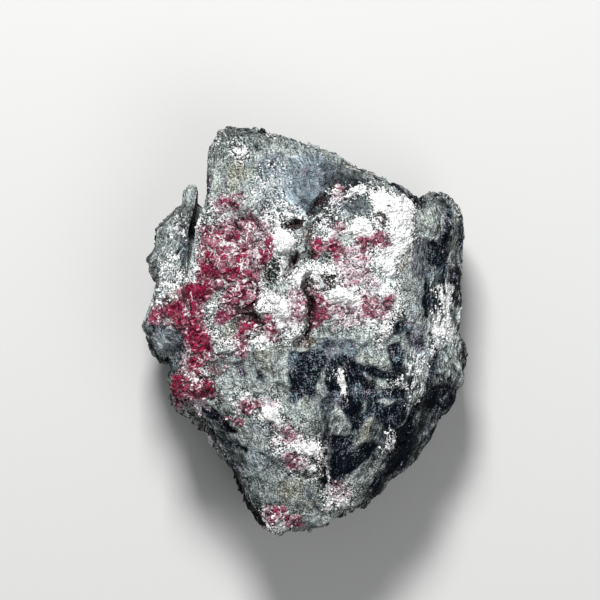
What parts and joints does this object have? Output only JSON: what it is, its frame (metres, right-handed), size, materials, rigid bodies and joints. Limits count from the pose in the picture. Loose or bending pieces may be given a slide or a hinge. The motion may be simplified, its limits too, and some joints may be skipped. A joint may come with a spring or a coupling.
{
  "type": "cinnabar specimen",
  "caption": "Hand specimen of layered grey-green schist with crimson cinnabar crusts and white quartz on its face, lying flat on its cleavage side.",
  "frame": {"origin": "centre of the specimen's outline, on the plane of the cleavage face that it rests on", "axes": "+Z up, away from the resting face and towards the crusted display face; +Y along the long side, towards the broad straight edge and away from the narrow tip; +X to the right, seen from above with +Y up"},
  "size_m": [0.0641, 0.0801, 0.0429],
  "materials": {
    "schist": "dull layered stone, grey-green with blue-black slate patches",
    "cinnabar": "adamantine crimson crystal grains",
    "quartz": "milky white, granular and vitreous"
  },
  "bodies": {
    "root": {"schist_matrix": "schist", "cinnabar_main_crust": "cinnabar", "cinnabar_left_upper_crust": "cinnabar", "cinnabar_left_edge_crust": "cinnabar", "cinnabar_left_seam": "cinnabar", "cinnabar_left_lower_crust": "cinnabar", "cinnabar_lower_left_cluster": "cinnabar", "cinnabar_vug_streak": "cinnabar", "cinnabar_west_grain": "cinnabar", "cinnabar_east_grain": "cinnabar", "cinnabar_upper_right_crust": "cinnabar", "cinnabar_lower_right_crust": "cinnabar", "cinnabar_crevice_west": "cinnabar", "cinnabar_crevice_east": "cinnabar", "cinnabar_shoulder_grains": "cinnabar", "cinnabar_tip_grains": "cinnabar", "cinnabar_vug_crystals": "cinnabar", "quartz_upper_lens": "quartz", "quartz_shoulder": "quartz", "quartz_under_vug": "quartz", "quartz_right_mass": "quartz", "quartz_right_lens": "quartz", "quartz_right_band": "quartz", "quartz_lower_knob": "quartz", "quartz_lower_mass": "quartz", "quartz_tip": "quartz"}
  },
  "joints": []
}
